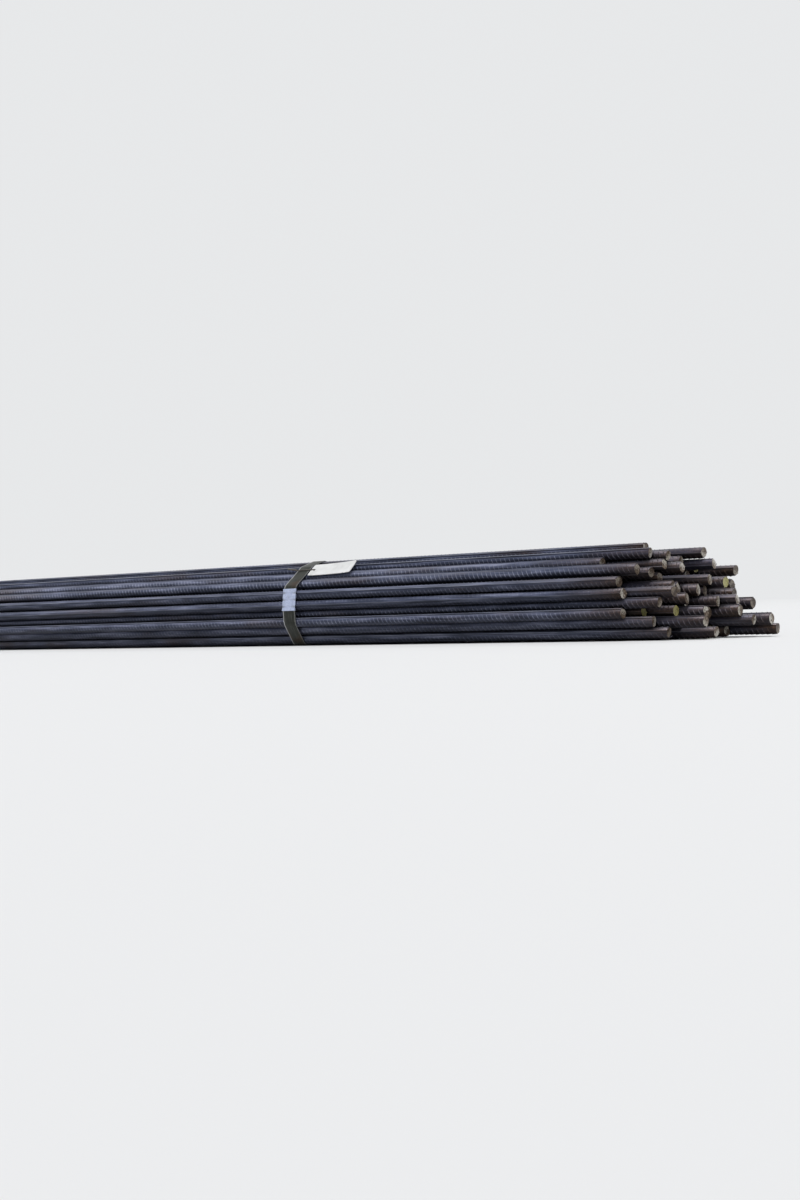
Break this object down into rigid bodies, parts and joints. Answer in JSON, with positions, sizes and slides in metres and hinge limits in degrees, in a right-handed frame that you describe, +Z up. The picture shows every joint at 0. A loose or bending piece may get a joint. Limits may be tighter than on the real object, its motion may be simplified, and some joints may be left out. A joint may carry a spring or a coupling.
{
  "type": "rebar bundle",
  "caption": "Bundle of straight ribbed reinforcing bars with staggered ends, tied by two flat steel straps with crimped seals, with a blank tag wired to one strap.",
  "frame": {"origin": "on the floor under the middle of the bundle", "axes": "+X along the bars, towards the end whose strap carries the tag; +Z up, away from the floor; +Y across the bundle, away from the side with the strap seals"},
  "size_m": [6.2714, 0.2007, 0.1724],
  "materials": {
    "bar_steel": "hot-rolled mill scale, blue-grey and matt, dusty, with light rust near the cut ends",
    "strap_steel": "thin cold-rolled steel strip, dull, scuffed along its edges",
    "seal_steel": "galvanised sheet, bright at the crimps",
    "tag_sheet": "pale blank sheet, slightly bent and dusty",
    "wire_steel": "annealed tie wire, dark and matt"
  },
  "bodies": {
    "root": {"bars_layer_1": "bar_steel", "bars_layer_2": "bar_steel", "bars_layer_3": "bar_steel", "bars_layer_4": "bar_steel", "bars_layer_5": "bar_steel", "bars_layer_6": "bar_steel", "bars_layer_7": "bar_steel", "bars_layer_8": "bar_steel", "bars_layer_9": "bar_steel", "strap_tag_end": "strap_steel", "strap_far_end": "strap_steel", "seal_tag_end": "seal_steel", "seal_far_end": "seal_steel", "tag": "tag_sheet", "tag_wire": "wire_steel"}
  },
  "joints": []
}
